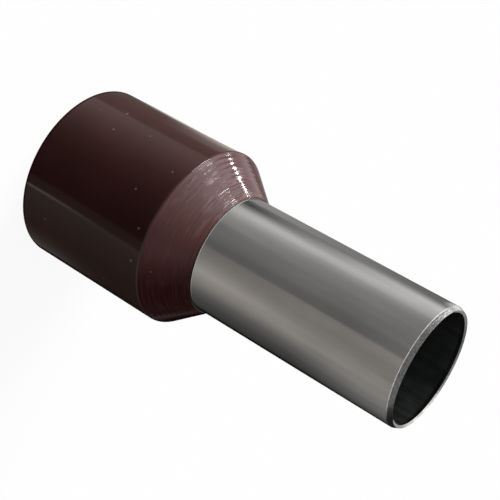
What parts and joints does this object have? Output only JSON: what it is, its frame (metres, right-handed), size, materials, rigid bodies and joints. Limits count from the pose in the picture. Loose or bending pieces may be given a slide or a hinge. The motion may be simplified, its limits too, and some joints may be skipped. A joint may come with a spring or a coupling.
{
  "type": "insulated wire ferrule",
  "caption": "Insulated wire ferrule: thin tin-plated crimp sleeve with a turned-in mouth and a flared inlet, in a brown moulded collar with a cone and a wide cable entry.",
  "frame": {"origin": "centre of the collar's open cable end, on the surface that the ferrule stands on", "axes": "+Z along the ferrule's axis, from the collar's cable end up to the sleeve's mouth; X and Y are free, because the part is round"},
  "size_m": [0.0132, 0.0132, 0.0303],
  "materials": {
    "tinned_sleeve": "satin tin plate with faint lengthwise drawing lines",
    "brown_collar": "glossy dark brown moulded plastic with fine turned rings on the cone"
  },
  "bodies": {
    "root": {"sleeve": "tinned_sleeve", "collar": "brown_collar"}
  },
  "joints": []
}
